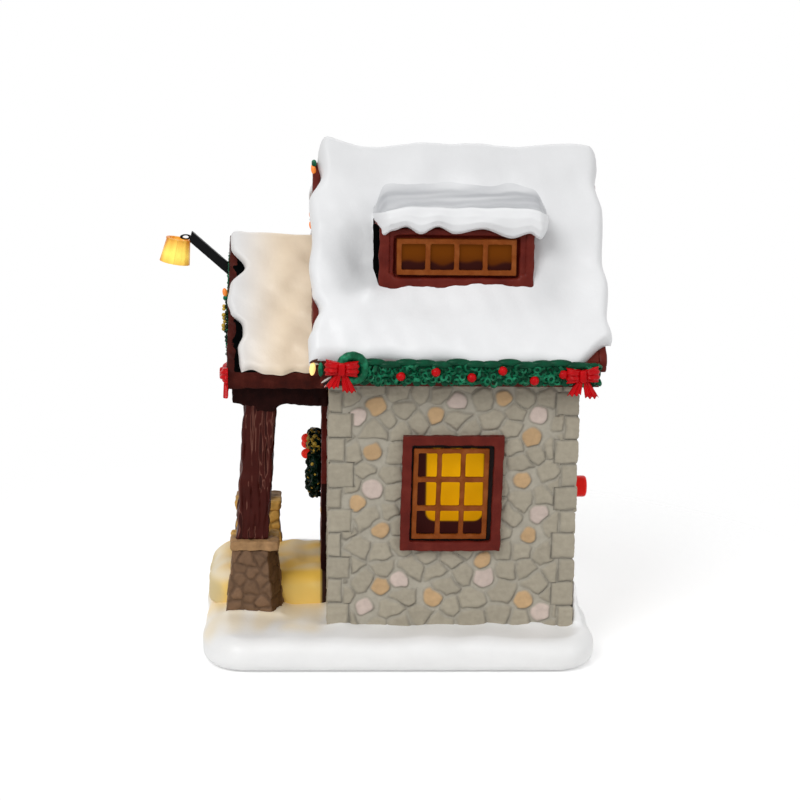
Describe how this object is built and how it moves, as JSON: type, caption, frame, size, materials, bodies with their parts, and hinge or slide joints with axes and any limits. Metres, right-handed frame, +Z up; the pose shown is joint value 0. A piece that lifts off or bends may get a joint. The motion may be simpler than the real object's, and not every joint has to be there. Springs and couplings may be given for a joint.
{
  "type": "ceramic christmas village house",
  "caption": "Ceramic Christmas village house with snowy gable roofs, stone walls, dormers, glowing windows, a porch with a lamp, evergreen trim and a battery light inside.",
  "frame": {"origin": "middle of the flat underside of the snowy base", "axes": "+Z up; the porch and front door look along -Y; +X is the house's right side, the side in the picture"},
  "size_m": [0.129, 0.164, 0.1827],
  "materials": {
    "snow_glaze": "soft gloss white glaze with a lumpy hand-brushed surface",
    "stone_glaze": "painted fieldstone relief, satin",
    "maroon_paint": "satin maroon paint on ceramic",
    "post_paint": "dark brown paint over carved wood grain",
    "pier_stone": "painted brown cobbles, satin",
    "cap_stone": "painted tan slab, satin",
    "door_paint": "painted door panels, satin",
    "sash_paint": "orange-brown moulded lattice",
    "amber_pane": "translucent amber sheet",
    "evergreen": "green glaze on curled leaves",
    "red_gloss": "glossy red",
    "warm_bulb": "glowing warm bulb",
    "lamp_shade_amber": "translucent glowing shade",
    "black_iron": "satin black",
    "brass": "polished",
    "dark_plastic": "fine matt moulding",
    "bright_steel": "plain",
    "circuit_green": "solder mask",
    "cell_jacket": "plain wrapped jacket",
    "lead_cover": "soft insulation"
  },
  "bodies": {
    "house": {"base_cover": "dark_plastic", "base_shell": "snow_glaze", "battery_cells": "cell_jacket", "battery_tray": "dark_plastic", "button_spring": "bright_steel", "contact_plates": "bright_steel", "contact_springs": "bright_steel", "cover_screws": "bright_steel", "door_frame": "maroon_paint", "door_knob": "brass", "door_wreath": "evergreen", "dormer_body_left": "maroon_paint", "dormer_body_right": "maroon_paint", "dormer_lattice_left": "sash_paint", "dormer_lattice_right": "sash_paint", "dormer_pane_left": "amber_pane", "dormer_pane_right": "amber_pane", "dormer_snow_left": "snow_glaze", "dormer_snow_right": "snow_glaze", "eave_garland_left": "evergreen", "eave_garland_right": "evergreen", "eave_wreaths": "evergreen", "front_bargeboards": "maroon_paint", "front_door": "door_paint", "garland_berries": "red_gloss", "house_walls": "stone_glaze", "inner_leads": "lead_cover", "lamp_arm": "black_iron", "lamp_bulb": "warm_bulb", "lamp_shade": "lamp_shade_amber", "led_board": "circuit_green", "main_led": "warm_bulb", "pier_caps": "cap_stone", "porch_bargeboards": "maroon_paint", "porch_beam_left": "maroon_paint", "porch_beam_right": "maroon_paint", "porch_deck": "maroon_paint", "porch_gable_board": "maroon_paint", "porch_garland": "evergreen", "porch_pier_left": "pier_stone", "porch_pier_right": "pier_stone", "porch_platform": "snow_glaze", "porch_post_left": "post_paint", "porch_post_right": "post_paint", "porch_snow": "snow_glaze", "rear_bargeboards": "maroon_paint", "ribbon_bows": "red_gloss", "roof_deck": "maroon_paint", "roof_snow": "snow_glaze", "string_lights": "warm_bulb", "switch_body": "dark_plastic", "switch_nut": "bright_steel", "window_frame_left": "maroon_paint", "window_frame_right": "maroon_paint", "window_lattice_left": "sash_paint", "window_lattice_right": "sash_paint", "window_pane_left": "amber_pane", "window_pane_right": "amber_pane"},
    "battery_lid": {"battery_door": "dark_plastic"},
    "button": {"power_button": "red_gloss"}
  },
  "joints": [
    {"name": "battery_door_hinge", "type": "hinge", "parent": "house", "child": "battery_lid", "pos_m": [0, 0.04845, 0.0016], "axis": [1, 0, 0], "range_deg": [0, 90]},
    {"name": "power_button_press", "type": "slide", "parent": "house", "child": "button", "axis": [0, -1, 0], "range_m": [0, 0.002], "stiffness_N_per_m": 400, "springref_m": -0.002, "deforming": ["button_spring"]}
  ]
}
